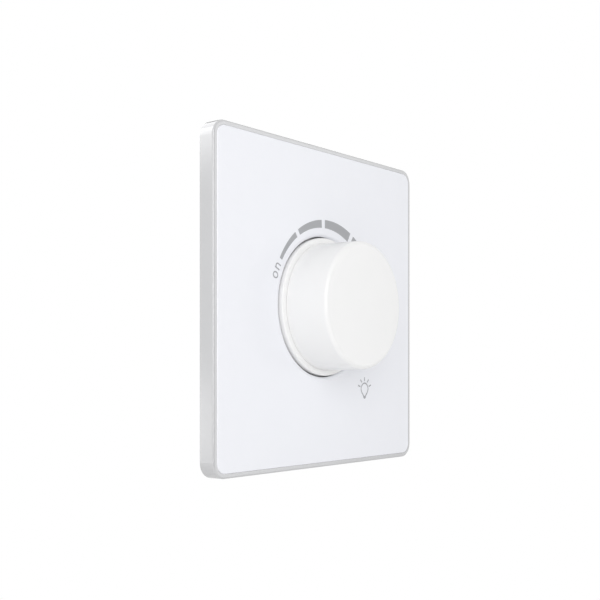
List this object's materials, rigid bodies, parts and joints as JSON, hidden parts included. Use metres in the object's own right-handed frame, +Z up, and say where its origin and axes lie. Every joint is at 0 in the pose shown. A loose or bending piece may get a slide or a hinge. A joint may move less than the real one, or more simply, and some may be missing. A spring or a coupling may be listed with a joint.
{
  "type": "rotary dimmer switch",
  "caption": "Square wall-plate dimmer with a large plain turning knob, slim silver trim frame and a control module that sits in the wall box behind it.",
  "frame": {"origin": "centre of the plate on the wall plane, midway between the two fixing slots", "axes": "+X to the right seen from the room, +Z up, +Y into the wall box; the knob faces -Y"},
  "size_m": [0.086, 0.0473, 0.086],
  "materials": {
    "trim_silver": "satin silver-grey paint",
    "panel_white": "smooth cool white",
    "knob_white": "fine matt white",
    "yoke_steel": "galvanised sheet",
    "spring_steel": "bright spring steel",
    "plated_brass": "nickel-plated brass",
    "contact_brass": "bare brass",
    "nylon_white": "natural nylon",
    "phenolic_brown": "phenolic board",
    "tinned_wire": "tinned",
    "housing_plastic": "moulded, fine grain",
    "screw_steel": "zinc-plated",
    "board_green": "green solder mask",
    "sink_aluminium": "mill finish",
    "epoxy_black": "moulded epoxy",
    "capacitor_yellow": "moulded case",
    "ferrite_grey": "sintered ferrite",
    "winding_copper": "enamelled copper wire",
    "capacitor_green": "dipped film",
    "fuse_ceramic": "ceramic tube",
    "diac_blue": "painted glass",
    "resistor_beige": "lacquer"
  },
  "bodies": {
    "wall_plate": {"trim_frame": "trim_silver", "front_panel": "panel_white", "mounting_yoke": "yoke_steel", "control_nut": "plated_brass", "control_washer": "spring_steel", "control_bushing": "plated_brass", "control_can": "yoke_steel", "track_wafer": "phenolic_brown", "track_pins": "tinned_wire", "switch_case": "phenolic_brown", "switch_contacts": "contact_brass", "module_cover": "housing_plastic", "module_housing": "housing_plastic", "housing_screws": "screw_steel", "circuit_board": "board_green", "terminal_live": "contact_brass", "terminal_load": "contact_brass", "terminal_pins": "tinned_wire", "terminal_screws": "screw_steel", "heat_sink": "sink_aluminium", "triac_tab": "tinned_wire", "triac_body": "epoxy_black", "triac_leads": "tinned_wire", "heat_sink_screw": "screw_steel", "filter_capacitor": "capacitor_yellow", "choke_core": "ferrite_grey", "choke_winding": "winding_copper", "timing_capacitor": "capacitor_green", "fuse": "fuse_ceramic", "diac": "diac_blue", "resistors": "resistor_beige", "component_legs": "tinned_wire"},
    "turning_knob": {"knob": "knob_white", "knob_clip": "spring_steel", "control_shaft": "plated_brass", "retaining_clip": "spring_steel", "wiper_carrier": "nylon_white", "wiper": "contact_brass", "switch_rotor": "nylon_white", "switch_bridge": "contact_brass"}
  },
  "joints": [
    {"name": "knob_turn", "type": "hinge", "parent": "wall_plate", "child": "turning_knob", "pos_m": [0, 0, 0], "axis": [0, 1, 0], "range_deg": [0, 270]}
  ]
}
